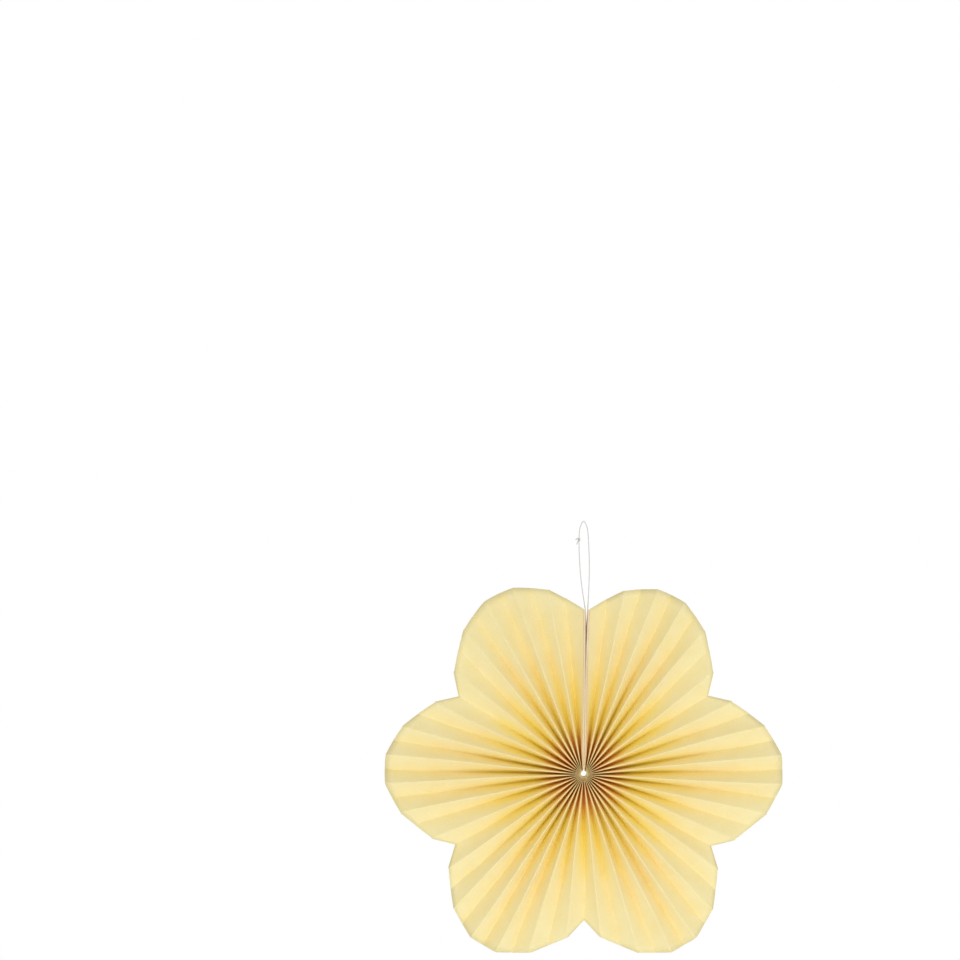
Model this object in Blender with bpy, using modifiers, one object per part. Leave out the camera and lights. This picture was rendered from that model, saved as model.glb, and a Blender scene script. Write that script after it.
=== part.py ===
"""Paper fan rosette: a strip of paper pleated into 72 panels, opened into a six petal flower.

The front faces -Y and +Z is up. The origin is where a hook bears on the inside of the hanging
loop, and the flower hangs below it. All lengths are in metres.
"""

import math

import bmesh
import bpy
from mathutils import Matrix, Vector

# Pleated strip
PETALS = 6
PANELS_PER_PETAL = 12
PLEAT_WIDTH = 0.015
PAPER_THICKNESS = 0.00012
FOLD_RIDGE = 0.00015
EYE_RADIUS = 0.0023
NOTCH_RADIUS = 0.1185
TIP_RADIUS = 0.1614

# How the pleats share the turn: each petal's share, and how much wider they stand at the notches
PETAL_TURN_SHARES = (0.1583, 0.1711, 0.1672, 0.1700, 0.1684, 0.1650)
NOTCH_SPREAD_SHARE = 0.2
PETAL_ROUNDNESS = 0.8

# Card boards on the two end panels, crushed thinner where the centre is gathered
BOARD_THICKNESS = 0.0014
BOARD_CRUSHED_THICKNESS = 0.0002
BOARD_INSET = 0.0002
BOARD_TOP_INSET = 0.0006
BOARD_START_RADIUS = 0.0032
BOARD_FULL_RADIUS = 0.0185
BOARD_START_GAP = 0.0004
GLUE_LINE = 0.00013

# The seam between the boards: taped shut in front up to a radius, and springing open above it
SEAM_CORE_HALF = 0.0006
SEAM_EYE_HALF = 0.0014
SEAM_RIDGE = 0.0003
SEAM_CLOSED_GAP = 0.0002
SEAM_SPREAD_RADIUS = 0.0048
SEAM_OPEN_LENGTH = 0.0425
SEAM_FLARE = 0.0019
SEAM_FLARE_POWER = 1.5
SEAM_MOUTH = 0.0022
SEAM_MOUTH_POWER = 4
SEAM_LEAN = math.radians(1.05)

# Double-sided tape
TAPE_THICKNESS = 0.0001
TAPE_WIDTH = 0.0042
TAPE_EDGE_MARGIN = 0.0006
TAPE_END_MARGIN = 0.003

# Twine that gathers the centre and makes the hanging loop
STRING_DIAMETER = 0.00075
STRING_CLEARANCE = 0.00008
STRING_RING_RADIUS = 0.0065
STRING_STRAND_OFFSET = 0.00055
STRING_BEND_RADIUS = 0.0016
STRING_END_GAP = 0.0003
STRING_EXIT_RISE = 0.002
STRING_HOLE_RADIUS = 0.0014
HANG_DROP = 0.203

# The free loop above the notch: across, depth, height from the hook
LOOP_ROUTE = (
    (0.0035, -0.00055, -0.0674),
    (0.0042, -0.00055, -0.0540),
    (0.0046, -0.00055, -0.0400),
    (0.0045, -0.00050, -0.0290),
    (0.0041, -0.00035, -0.0180),
    (0.0036, -0.00020, -0.0100),
    (0.0026, -0.00010, -0.0040),
    (0.0000, 0.00000, 0.000375),
    (-0.0026, 0.00010, -0.0040),
    (-0.0035, 0.00020, -0.0100),
    (-0.0037, 0.00035, -0.0184),
    (-0.0033, 0.00050, -0.0300),
    (-0.00226, 0.00055, -0.0451),
    (-0.0006, 0.00055, -0.0580),
    (0.0013, 0.00055, -0.0705),
)

# Knot on the loop's left strand
KNOT_HEIGHT = -0.0145
KNOT_LENGTH = 0.0028
KNOT_RADIUS = 0.00115
KNOT_WAIST_RADIUS = 0.0009
KNOT_BORE_CLEARANCE = 0.0001

# The knot's side, top to bottom: share of the way from waist to full radius, share of its half length
KNOT_SIDE_SHARES = ((0, 1), (1, 0.75), (1, 0.35), (0, 0), (1, -0.35), (1, -0.75), (0, -1))

# How finely the round and twisted shapes are cut into faces
OPEN_STEPS = 5
HOLE_CUTTER_STEPS = 28
HOLE_CUTTER_SIDES = 8
RING_STEPS = 24
BEND_STEPS = 5
STRAND_STEPS = 7
KNOT_STEPS = 12
MERGE_DISTANCE = 0.00001

PANELS = PETALS * PANELS_PER_PETAL
STRING_RADIUS = STRING_DIAMETER / 2
HALF_DEPTH = PLEAT_WIDTH / 2
SEAM_MID_GAP = STRING_DIAMETER + 2 * STRING_CLEARANCE
SEAM_OPEN_RADIUS = NOTCH_RADIUS - SEAM_OPEN_LENGTH


def clear_scene():
    for thing in list(bpy.data.objects):
        bpy.data.objects.remove(thing, do_unlink=True)


def new_collection(name):
    made = bpy.data.collections.new(name)
    bpy.context.scene.collection.children.link(made)
    return made


def material(name, colour, roughness):
    made = bpy.data.materials.new(name)
    made.use_nodes = True
    shader = made.node_tree.nodes["Principled BSDF"]
    shader.inputs["Base Color"].default_value = (*colour, 1.0)
    shader.inputs["Roughness"].default_value = roughness
    shader.inputs["Metallic"].default_value = 0.0
    return made


def new_object(name, data, home, finish=None):
    made = bpy.data.objects.new(name, data)
    home.objects.link(made)
    if finish:
        data.materials.append(finish)
    return made


def share_between(value, low, high):
    return min(1.0, max(0.0, (value - low) / (high - low)))


# Petal outline

def petal_radius(fold):
    """Each petal is half a rounded sine wave, from notch to notch."""
    wave = abs(math.sin(math.pi * fold / PANELS_PER_PETAL))
    return NOTCH_RADIUS + (TIP_RADIUS - NOTCH_RADIUS) * wave ** PETAL_ROUNDNESS


def petal_share(place):
    """Where a fold stands across its petal: the pleats stand wider at the notches."""
    return place + NOTCH_SPREAD_SHARE * math.sin(2 * math.pi * place) / (2 * math.pi)


def rim_angle(fold):
    """Direction of a fold's outer end, clockwise from the seam as seen from the front."""
    petal = min(fold // PANELS_PER_PETAL, PETALS - 1)
    place = petal_share(fold / PANELS_PER_PETAL - petal)
    first = petal_share(1 / PANELS_PER_PETAL)
    if petal == 0:
        place = (place - first) / (1.0 - first)
    if petal == PETALS - 1:
        place = place / (1.0 - first)
    turned = sum(PETAL_TURN_SHARES[:petal]) + PETAL_TURN_SHARES[petal] * place
    return 2 * math.pi * turned / sum(PETAL_TURN_SHARES)


def is_front(fold):
    return fold % 2 == 1


def is_beside_seam(fold):
    return fold == 1 or fold == PANELS - 1


def rim_point(fold):
    """Outer end of a fold. The cut edge runs straight from one front fold to the next."""
    if is_beside_seam(fold):
        side = 1.0 if fold == 1 else -1.0
        return Vector((side * seam_half_width(petal_radius(fold), 1), petal_radius(fold)))
    if is_front(fold) or fold % PANELS_PER_PETAL == 0:
        return Vector((math.sin(rim_angle(fold)), math.cos(rim_angle(fold)))) * petal_radius(fold)
    return (rim_point(fold - 1) + rim_point(fold + 1)) / 2


def edge_radius(fold):
    if is_beside_seam(fold) or fold % PANELS_PER_PETAL == 0:
        return petal_radius(fold)
    return rim_point(fold).length


# Seam and boards

def seam_gap(radius, forward):
    """Clear width between the boards at their front (forward 1), middle (0) or back edge (-1).

    The string keeps the middle apart, so the back is wide where the front is shut. At the top
    the two strands part and spread the middle further.
    """
    spread = share_between(radius, BOARD_START_RADIUS, SEAM_SPREAD_RADIUS)
    opened = share_between(radius, SEAM_OPEN_RADIUS, petal_radius(1))
    middle = SEAM_CLOSED_GAP + (SEAM_MID_GAP - SEAM_CLOSED_GAP) * spread
    middle += SEAM_MOUTH * opened ** SEAM_MOUTH_POWER
    front = SEAM_CLOSED_GAP + SEAM_FLARE * opened ** SEAM_FLARE_POWER
    if forward < 0:
        forward *= share_between(radius, BOARD_START_RADIUS, BOARD_FULL_RADIUS)
    return middle + (front - middle) * forward


def board_thickness(radius):
    share = share_between(radius, BOARD_START_RADIUS, BOARD_FULL_RADIUS)
    return BOARD_CRUSHED_THICKNESS + (BOARD_THICKNESS - BOARD_CRUSHED_THICKNESS) * share


def seam_half_width(radius, forward):
    """Half the seam's width to the middle of the paper that is glued on the boards."""
    boarded = max(radius, BOARD_START_RADIUS)
    full = seam_gap(boarded, forward) / 2 + board_thickness(boarded)
    full += GLUE_LINE + PAPER_THICKNESS / 2
    share = share_between(radius, EYE_RADIUS, BOARD_START_RADIUS)
    return SEAM_CORE_HALF + (full - SEAM_CORE_HALF) * share


def open_rows(top):
    """Heights from where the seam springs open up to a top."""
    shares = [step / OPEN_STEPS for step in range(OPEN_STEPS + 1)]
    return [SEAM_OPEN_RADIUS + (top - SEAM_OPEN_RADIUS) * share for share in shares]


# Pleats

def eye_angle(fold):
    """Direction of a fold's inner end: there the pleats stand side by side."""
    half = math.asin(SEAM_EYE_HALF / EYE_RADIUS)
    return half + (2 * math.pi - 2 * half) * (fold - 2) / (PANELS - 4)


def fold_plan(fold, radius):
    """Across and up of a fold at a radius. A crease is straight from the eye to the rim."""
    if is_beside_seam(fold):
        side = 1.0 if fold == 1 else -1.0
        return Vector((side * seam_half_width(radius, 1), radius))
    share = (radius - EYE_RADIUS) / (edge_radius(fold) - EYE_RADIUS)
    inner = Vector((math.sin(eye_angle(fold)), math.cos(eye_angle(fold)))) * EYE_RADIUS
    return inner.lerp(rim_point(fold), share)


def fold_depth(fold, radius):
    """How far a fold stands from the middle plane, so that each panel keeps its width."""
    if is_beside_seam(fold):
        return HALF_DEPTH
    before = fold_plan(fold - 1, radius)
    after = fold_plan(fold + 1, radius)
    spread = (after - before).length / 2
    return math.sqrt(max(PLEAT_WIDTH ** 2 - spread ** 2, 0.0)) / 2


def fold_rows(fold):
    """Radii of the points down one fold, from the eye to the rim."""
    rows = [EYE_RADIUS, BOARD_START_RADIUS, SEAM_SPREAD_RADIUS, BOARD_FULL_RADIUS]
    rows.append((BOARD_FULL_RADIUS + SEAM_OPEN_RADIUS) / 2)
    return rows + open_rows(edge_radius(fold))


def fold_columns():
    """Each fold is a narrow flat ridge with a column of points down each side.

    The end panels have one more column, halfway between their two folds.
    """
    columns = [(0, 0.0), (0.5, 0.0)]
    for fold in range(1, PANELS):
        columns += [(fold, -0.5), (fold, 0.5)]
    columns += [(PANELS - 0.5, 0.0), (PANELS, 0.0)]
    return columns


def end_panel_point(fold, row):
    """A point of the first or last panel, which lies along its board."""
    right = fold < 1
    outer = 0 if right else PANELS
    forward = 2 * abs(fold - outer) - 1
    beside = fold_rows(1)[row]
    height = fold_rows(outer)[row]
    height += (beside - height) * abs(fold - outer)
    across = seam_half_width(height, forward)
    return Vector((across if right else -across, -forward * HALF_DEPTH, height))


def paper_point(fold, side, row):
    """A point of the sheet's middle surface, with the flower's centre at zero."""
    if fold < 1 or fold > PANELS - 1:
        return end_panel_point(fold, row)
    radius = fold_rows(fold)[row]
    plan = fold_plan(fold, radius)
    if is_beside_seam(fold):
        outward = side + 0.5 if fold == 1 else side - 0.5
        place = plan + Vector((SEAM_RIDGE * outward, 0.0))
    else:
        place = plan + Vector((plan.y, -plan.x)).normalized() * FOLD_RIDGE * side
    depth = fold_depth(fold, radius)
    return Vector((place.x, -depth if is_front(fold) else depth, place.y))


def punch(thing, cutter):
    holes = thing.modifiers.new("string_holes", "BOOLEAN")
    holes.operation = "DIFFERENCE"
    holes.solver = "EXACT"
    holes.object = cutter


def make_pleated_paper(home, cutter, carrier, finish):
    columns = fold_columns()
    rows = len(fold_rows(0))
    mesh = bpy.data.meshes.new("pleated_paper")
    sheet = bmesh.new()
    bmesh.ops.create_grid(sheet, x_segments=len(columns) - 1, y_segments=rows - 1, size=1.0)
    sheet.verts.ensure_lookup_table()
    for row in range(rows):
        for place, (fold, side) in enumerate(columns):
            sheet.verts[row * len(columns) + place].co = paper_point(fold, side, row)
    # Both walls of a twisted panel share the diagonal that the sheet is split along
    bmesh.ops.triangulate(sheet, faces=sheet.faces, quad_method="SHORT_EDGE")
    sheet.to_mesh(mesh)
    sheet.free()
    paper = new_object("pleated_paper", mesh, home, finish)
    paper.parent = carrier
    wall = paper.modifiers.new("paper_thickness", "SOLIDIFY")
    wall.thickness = PAPER_THICKNESS
    wall.offset = 0.0
    wall.use_even_offset = True
    punch(paper, cutter)
    return paper


def make_hole_cutter(cutters, carrier):
    """One ring that passes through every panel and both boards punches all the string holes."""
    bpy.ops.mesh.primitive_torus_add(
        major_radius=STRING_RING_RADIUS,
        minor_radius=STRING_HOLE_RADIUS,
        major_segments=HOLE_CUTTER_STEPS,
        minor_segments=HOLE_CUTTER_SIDES,
    )
    ring = bpy.context.object
    ring.name = "string_hole_cutter"
    for holder in list(ring.users_collection):
        holder.objects.unlink(ring)
    cutters.objects.link(ring)
    ring.data.transform(Matrix.Rotation(math.pi / 2, 4, "X"))
    ring.parent = carrier
    ring.hide_render = True
    ring.display_type = "WIRE"
    return ring


def board_rows(forward):
    """Heights of a board's points, for its front, middle or back edge."""
    rows = [BOARD_START_RADIUS + BOARD_START_GAP, SEAM_SPREAD_RADIUS, BOARD_FULL_RADIUS]
    rows.append((BOARD_FULL_RADIUS + SEAM_OPEN_RADIUS) / 2)
    front_top = edge_radius(1) - BOARD_TOP_INSET
    back_top = edge_radius(0) - BOARD_TOP_INSET
    return rows + open_rows(back_top + (front_top - back_top) * (1 + forward) / 2)


def make_end_board(name, side, home, cutter, carrier, finish):
    """A strip of card whose inner face follows the seam and whose top follows the petal's edge."""
    rows = len(board_rows(0))
    mesh = bpy.data.meshes.new(name)
    card = bmesh.new()
    bmesh.ops.create_grid(card, x_segments=2, y_segments=rows - 1, size=1.0)
    inner = sorted(card.verts, key=lambda corner: corner.index)
    outer = bmesh.ops.extrude_face_region(card, geom=card.faces[:] + card.edges[:] + inner)
    outer = [made for made in outer["geom"] if isinstance(made, bmesh.types.BMVert)]
    for corners, layer in ((inner, 0), (outer, 1)):
        for corner in corners:
            forward = side * round(corner.co.x)
            row = round((corner.co.y + 1.0) / 2.0 * (rows - 1))
            height = board_rows(forward)[row]
            across = seam_gap(height, forward) / 2 + board_thickness(height) * layer
            depth = -forward * (HALF_DEPTH - BOARD_INSET)
            corner.co = Vector((side * across, depth, height))
    bmesh.ops.recalc_face_normals(card, faces=card.faces)
    bmesh.ops.triangulate(card, faces=card.faces, quad_method="SHORT_EDGE")
    card.to_mesh(mesh)
    card.free()
    board = new_object(name, mesh, home, finish)
    board.parent = carrier
    punch(board, cutter)
    return board


def make_tape(home, carrier, finish):
    """A thin strip in the seam's middle plane, just behind the boards' front edges."""
    low = BOARD_FULL_RADIUS + TAPE_END_MARGIN
    high = SEAM_OPEN_RADIUS - TAPE_END_MARGIN
    depth = HALF_DEPTH - TAPE_EDGE_MARGIN - TAPE_WIDTH / 2
    mesh = bpy.data.meshes.new("seam_tape")
    strip = bmesh.new()
    bmesh.ops.create_cube(strip, size=1.0)
    size = Vector((TAPE_THICKNESS, TAPE_WIDTH, high - low))
    bmesh.ops.scale(strip, vec=size, verts=strip.verts)
    bmesh.ops.translate(strip, vec=Vector((0.0, -depth, (low + high) / 2)), verts=strip.verts)
    strip.to_mesh(mesh)
    strip.free()
    made = new_object("seam_tape", mesh, home, finish)
    made.parent = carrier
    return made


# String

def ring_route():
    """The turn through the punched holes, from the seam round to the seam again."""
    leaves = math.asin(STRING_BEND_RADIUS / (STRING_RING_RADIUS + STRING_BEND_RADIUS))
    points = []
    for step in range(RING_STEPS + 1):
        share = step / RING_STEPS
        turn = 2 * math.pi - (2 * math.pi - leaves) * share
        depth = STRING_STRAND_OFFSET * (1.0 - 2.0 * share)
        across = STRING_RING_RADIUS * math.sin(turn)
        points.append(Vector((across, depth, STRING_RING_RADIUS * math.cos(turn))))
    return points, leaves


def bend_route(leaves):
    """The quarter turn from the last hole up into the seam."""
    reach = STRING_RING_RADIUS + STRING_BEND_RADIUS
    middle = Vector((STRING_BEND_RADIUS, -STRING_STRAND_OFFSET, reach * math.cos(leaves)))
    first = 1.5 * math.pi - leaves
    points = []
    for step in range(1, BEND_STEPS + 1):
        turn = first + (math.pi - first) * step / BEND_STEPS
        around = Vector((math.cos(turn), 0.0, math.sin(turn)))
        points.append(middle + around * STRING_BEND_RADIUS)
    return points


def strand(side):
    """Points of one strand in the seam, from the eye outwards. It leans on its board at the top."""
    exit_radius = (edge_radius(0) + edge_radius(1)) / 2 + STRING_EXIT_RISE
    heights = [STRING_RING_RADIUS + 2 * STRING_BEND_RADIUS]
    for step in range(STRAND_STEPS + 1):
        heights.append(SEAM_OPEN_RADIUS + (exit_radius - SEAM_OPEN_RADIUS) * step / STRAND_STEPS)
    aside = [(seam_gap(height, 0) - SEAM_MID_GAP) / 2 for height in heights]
    depth = -side * STRING_STRAND_OFFSET
    return [Vector((side * across, depth, height)) for across, height in zip(aside, heights)]


def string_route(carrier_matrix):
    ring, leaves = ring_route()
    rising = strand(1.0)
    falling = strand(-1.0)[::-1]
    last = STRING_RING_RADIUS + STRING_RADIUS + STRING_END_GAP
    falling.append(Vector((0.0, STRING_STRAND_OFFSET, last)))
    start = [carrier_matrix @ point for point in ring + bend_route(leaves) + rising]
    end = [carrier_matrix @ point for point in falling]
    return start, [Vector(point) for point in LOOP_ROUTE], end


def rounded(points, first, last):
    """Points of a smooth curve through the given ones, with two steps to each gap."""
    line = [first] + points + [last]
    made = []
    for a, b, c, d in zip(line, line[1:], line[2:], line[3:]):
        for share in (0.0, 0.5):
            pull = (c - a) * share + (2 * a - 5 * b + 4 * c - d) * share ** 2
            pull += (3 * b - a - 3 * c + d) * share ** 3
            made.append(b + pull / 2)
    return made


def make_string(home, carrier_matrix, finish):
    start, loop, end = string_route(carrier_matrix)
    free = rounded([start[-1]] + loop + [end[0]], start[-2], end[1])
    points = start[:-1] + free + end
    curve = bpy.data.curves.new("hanging_string", "CURVE")
    curve.dimensions = "3D"
    curve.bevel_depth = STRING_RADIUS
    curve.bevel_resolution = 2
    curve.use_fill_caps = True
    line = curve.splines.new("POLY")
    line.points.add(len(points) - 1)
    for slot, point in zip(line.points, points):
        slot.co = (*point, 1.0)
    return new_object("hanging_string", curve, home, finish), points


def make_loop_knot(home, points, finish):
    """A small barrel with two turns of twine round the loop's left strand."""
    near = min(
        (index for index in range(1, len(points) - 1) if points[index].x < 0.0),
        key=lambda index: abs(points[index].z - KNOT_HEIGHT),
    )
    direction = (points[near - 1] - points[near + 1]).normalized()
    middle = points[near] + direction * (KNOT_HEIGHT - points[near].z) / direction.z
    bore = STRING_RADIUS + KNOT_BORE_CLEARANCE
    half = KNOT_LENGTH / 2
    outline = [(bore, half)]
    for bulge, height in KNOT_SIDE_SHARES:
        radius = KNOT_WAIST_RADIUS + (KNOT_RADIUS - KNOT_WAIST_RADIUS) * bulge
        outline.append((radius, half * height))
    outline.append((bore, -half))
    mesh = bpy.data.meshes.new("loop_knot")
    edges = [(index, (index + 1) % len(outline)) for index in range(len(outline))]
    mesh.from_pydata([(radius, 0.0, height) for radius, height in outline], edges, [])
    knot = new_object("loop_knot", mesh, home, finish)
    turned = knot.modifiers.new("turned", "SCREW")
    turned.steps = KNOT_STEPS
    turned.render_steps = KNOT_STEPS
    turned.use_merge_vertices = True
    turned.merge_threshold = MERGE_DISTANCE
    knot.rotation_euler = direction.to_track_quat("Z", "Y").to_euler()
    knot.location = middle
    return knot


def main():
    clear_scene()
    home = new_collection("paper_fan_rosette")
    cutters = new_collection("cutters")
    paper = material("yellow_paper", (0.83, 0.66, 0.27), 0.75)
    card = material("raw_card", (0.80, 0.66, 0.47), 0.85)
    tape = material("double_sided_tape", (0.78, 0.74, 0.62), 0.45)
    twine = material("cotton_twine", (0.72, 0.68, 0.64), 0.9)

    carrier = bpy.data.objects.new("flower_centre", None)
    home.objects.link(carrier)
    carrier.location = (0.0, 0.0, -HANG_DROP)
    carrier.rotation_euler = (0.0, SEAM_LEAN, 0.0)
    bpy.context.view_layer.update()

    cutter = make_hole_cutter(cutters, carrier)
    make_pleated_paper(home, cutter, carrier, paper)
    make_end_board("right_end_board", 1.0, home, cutter, carrier, card)
    make_end_board("left_end_board", -1.0, home, cutter, carrier, card)
    make_tape(home, carrier, tape)
    _, points = make_string(home, carrier.matrix_world.copy(), twine)
    make_loop_knot(home, points, twine)


main()
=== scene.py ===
# Paper fan rosette, dressed: pleated yellow paper, raw card strips, tape and twine over the plain solids.
# Everything is in metres. The front faces -Y, +Z is up, and the origin is where a hook bears in the loop.
import math

import bmesh
import bpy
import numpy as np
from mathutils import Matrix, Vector


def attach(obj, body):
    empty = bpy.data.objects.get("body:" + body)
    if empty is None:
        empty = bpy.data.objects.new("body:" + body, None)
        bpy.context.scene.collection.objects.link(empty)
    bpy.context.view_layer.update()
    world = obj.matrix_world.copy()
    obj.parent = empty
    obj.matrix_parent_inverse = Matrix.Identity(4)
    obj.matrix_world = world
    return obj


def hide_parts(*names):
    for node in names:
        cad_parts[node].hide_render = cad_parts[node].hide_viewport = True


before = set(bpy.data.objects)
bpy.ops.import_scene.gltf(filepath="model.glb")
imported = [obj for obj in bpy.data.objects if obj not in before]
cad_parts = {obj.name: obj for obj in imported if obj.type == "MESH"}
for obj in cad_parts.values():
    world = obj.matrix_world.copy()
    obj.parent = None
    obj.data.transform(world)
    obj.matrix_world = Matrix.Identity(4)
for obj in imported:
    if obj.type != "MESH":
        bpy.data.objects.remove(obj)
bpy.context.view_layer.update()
print("frame loaded:", ", ".join(sorted(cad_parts)))

flowerCentre = np.array([0.0, 0.0, -0.203])
seamLean = math.radians(1.05)  # the seam leans to the right of upright

studio = {
    "lens": 300.0,  # mm, a long lens: the fan is seen nearly without perspective
    "sensorWidth": 36.0,  # mm
    "farthestSeen": 60.0,  # m
    "frameWidth": 0.7738,  # m, what the picture is wide at the fan
    "lookAt": (-0.0835, 0.0, 0.0336),
    "floorDrop": 1.1,  # m, the floor under the fan's centre
    "floorSize": 17.0,  # m
    "floorColour": "#F4F2EE",
    "worldLight": 0.735,
    "keyPlace": (0.15, -1.5, -1.1),  # below, as the shading of the petals shows
    "keySize": 0.6,
    "keyPower": 9.5,
    "keyColour": "#F2F6FF",
    "fillPlace": (0.7, -1.7, 0.4),
    "fillSize": 1.1,
    "fillPower": 2.0,
    "fillColour": "#FFFFFF",
    "bounces": 7,  # light bounces many times in a pleat before it leaves
}


# Small helpers

def linearColour(hexCode):
    # An sRGB hex colour as linear RGBA
    parts = [int(hexCode[i:i + 2], 16) / 255 for i in (1, 3, 5)]
    return [c / 12.92 if c <= 0.04045 else ((c + 0.055) / 1.055) ** 2.4 for c in parts] + [1.0]


def toWorld(points):
    # Turns points of the flower by the seam's lean about Y, then moves them to the flower's centre
    x, y, z = np.moveaxis(np.asarray(points, float), -1, 0)
    cosine, sine = math.cos(seamLean), math.sin(seamLean)
    return np.stack([x * cosine + z * sine, y, z * cosine - x * sine], -1) + flowerCentre


def toFlower(points):
    # The way back from toWorld
    x, y, z = np.moveaxis(np.asarray(points, float) - flowerCentre, -1, 0)
    cosine, sine = math.cos(seamLean), math.sin(seamLean)
    return np.stack([x * cosine - z * sine, y, z * cosine + x * sine], -1)


def rise(value, low, high):
    # Goes evenly from 0 at low to 1 at high, and stays there
    return np.clip((value - low) / (high - low), 0.0, 1.0)


def smoothStep(value, low, high):
    # Goes from 0 to 1 between low and high, level at both ends: three t squared less two t cubed
    t = rise(value, low, high)
    return t * t * (3.0 - 2.0 * t)


def unit(vectors):
    # The same directions with a length of one
    return vectors / np.linalg.norm(vectors, axis=-1, keepdims=True)


def addValues(mesh, values):
    # Point attributes by name, which the materials read
    for label, numbers in values.items():
        layer = mesh.attributes.new(label, "FLOAT", "POINT")
        layer.data.foreach_set("value", np.ascontiguousarray(numbers, np.float32))


def meshPoints(piece):
    # A mesh's points as rows of x, y and z
    flat = np.empty(len(piece.data.vertices) * 3)
    piece.data.vertices.foreach_get("co", flat)
    return flat.reshape(-1, 3)


def applyModifiers(piece):
    # The mesh becomes what its modifiers make of it
    graph = bpy.context.evaluated_depsgraph_get()
    made = bpy.data.meshes.new_from_object(piece.evaluated_get(graph))
    piece.modifiers.clear()
    piece.data = made


def addMesh(name, points, faces, finish, values=None, uv=None, smooth=True):
    # One object at the origin from an array of points and a list of faces, with its point attributes
    mesh = bpy.data.meshes.new(name)
    mesh.from_pydata(points.tolist(), [], faces if isinstance(faces, list) else faces.tolist())
    mesh.polygons.foreach_set("use_smooth", np.full(len(mesh.polygons), smooth))
    addValues(mesh, values or {})
    if uv is not None:
        corner = np.empty(len(mesh.loops), np.int32)
        mesh.loops.foreach_get("vertex_index", corner)
        layer = mesh.uv_layers.new(name="flat")
        layer.data.foreach_set("uv", np.ascontiguousarray(uv[corner].ravel(), np.float32))
    mesh.update()
    piece = bpy.data.objects.new(name, mesh)
    bpy.context.scene.collection.objects.link(piece)
    mesh.materials.append(finish)
    return piece


def gridFaces(rows, columns, closed=False, ringed=False):
    # Quads of a grid of points, row after row. A closed grid joins its last column to its first,
    # and a ringed one its last row to its first as well.
    row = np.arange(rows if ringed else rows - 1)[:, None]
    column = np.arange(columns if closed else columns - 1)[None, :]
    nextRow, nextColumn = (row + 1) % rows, (column + 1) % columns
    quads = [row * columns + column, row * columns + nextColumn]
    quads += [nextRow * columns + nextColumn, nextRow * columns + column]
    return np.stack(quads, -1).reshape(-1, 4)


def cappedFaces(rows, columns):
    # A closed grid with one face over its first row of points and one over its last
    caps = [list(range(columns))[::-1], [(rows - 1) * columns + k for k in range(columns)]]
    return gridFaces(rows, columns, closed=True).tolist() + caps


def closeShell(mesh):
    # Makes all faces of a closed shell point outwards
    shell = bmesh.new()
    shell.from_mesh(mesh)
    bmesh.ops.recalc_face_normals(shell, faces=shell.faces)
    shell.to_mesh(mesh)
    shell.free()


def addNode(tree, kind, settings=None, links=None):
    # Adds a shader node, sets its properties or sockets, and links sockets to outputs of other nodes
    node = tree.nodes.new(kind)
    for label, value in (settings or {}).items():
        if isinstance(label, str) and hasattr(node, label):
            setattr(node, label, value)
        else:
            node.inputs[label].default_value = value
    for label, source in (links or {}).items():
        tree.links.new(source, node.inputs[label])
    return node


level = {"interpolation_type": "SMOOTHSTEP"}  # for a Map Range that is level at both ends


def newMaterial(name, shaderSettings):
    # A material with its Principled shader's own sockets set, its node tree and that shader
    made = bpy.data.materials.new(name)
    made.use_nodes = True
    shader = made.node_tree.nodes["Principled BSDF"]
    for label, value in shaderSettings.items():
        shader.inputs[label].default_value = value
    return made, made.node_tree, shader


# Pleated paper

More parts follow.
